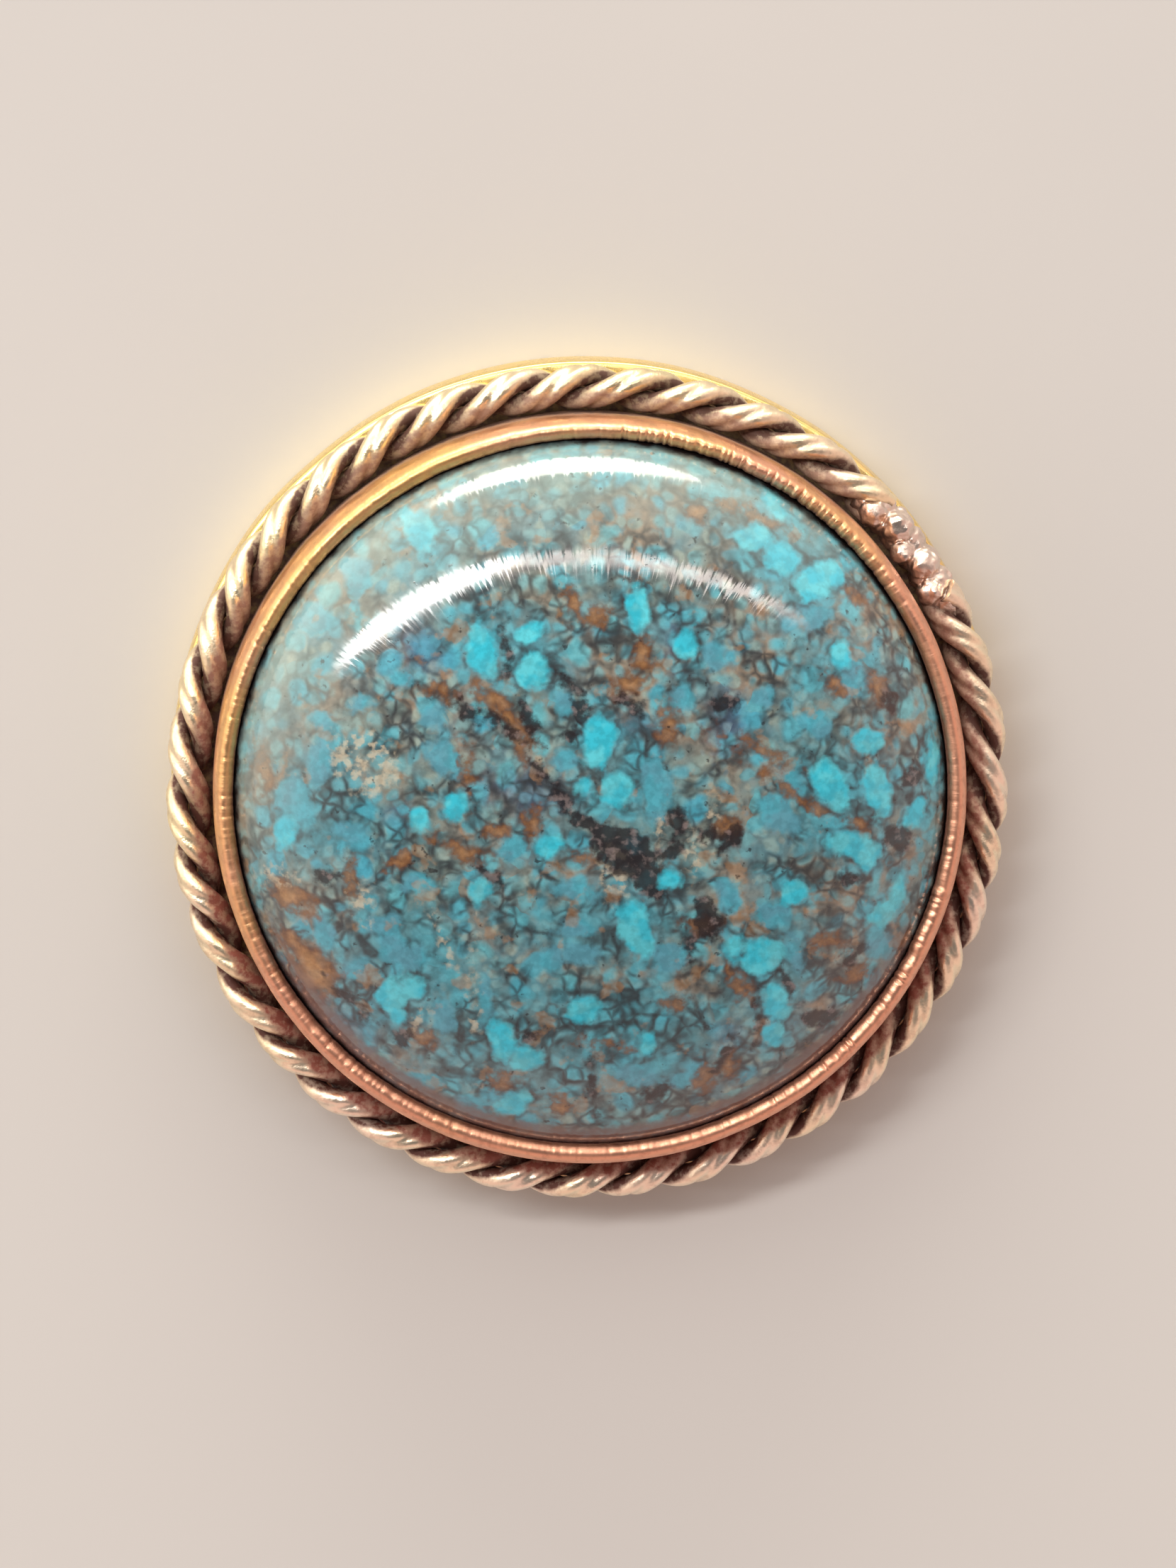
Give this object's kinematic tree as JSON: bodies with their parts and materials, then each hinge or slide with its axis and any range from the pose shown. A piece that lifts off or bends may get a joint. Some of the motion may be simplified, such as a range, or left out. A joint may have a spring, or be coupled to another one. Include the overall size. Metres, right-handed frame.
{
  "type": "bezel-set turquoise cabochon",
  "caption": "Round domed turquoise cabochon held in a thin brass bezel, with a twisted wire border and a flat closed back plate to lie on or be fixed by.",
  "frame": {"origin": "centre of the flat back, at the bottom of the part", "axes": "+Z out of the flat back towards the crown of the stone, +Y towards the top of the picture"},
  "size_m": [0.0187, 0.0187, 0.0054],
  "materials": {
    "turquoise": "polished turquoise with bright blue-green nodules, a fine dark web and rust-brown matrix",
    "plate_brass": "smooth yellow brass with fine polishing lines",
    "bezel_brass": "burnished brass with a copper tint and small tool marks along the lip",
    "rope_brass": "bright brass on the lumps and dark brown patina in the valleys"
  },
  "bodies": {
    "root": {"back_plate": "plate_brass", "bezel": "bezel_brass", "stone": "turquoise", "rope_strand_a": "rope_brass", "rope_strand_b": "rope_brass"}
  },
  "joints": []
}
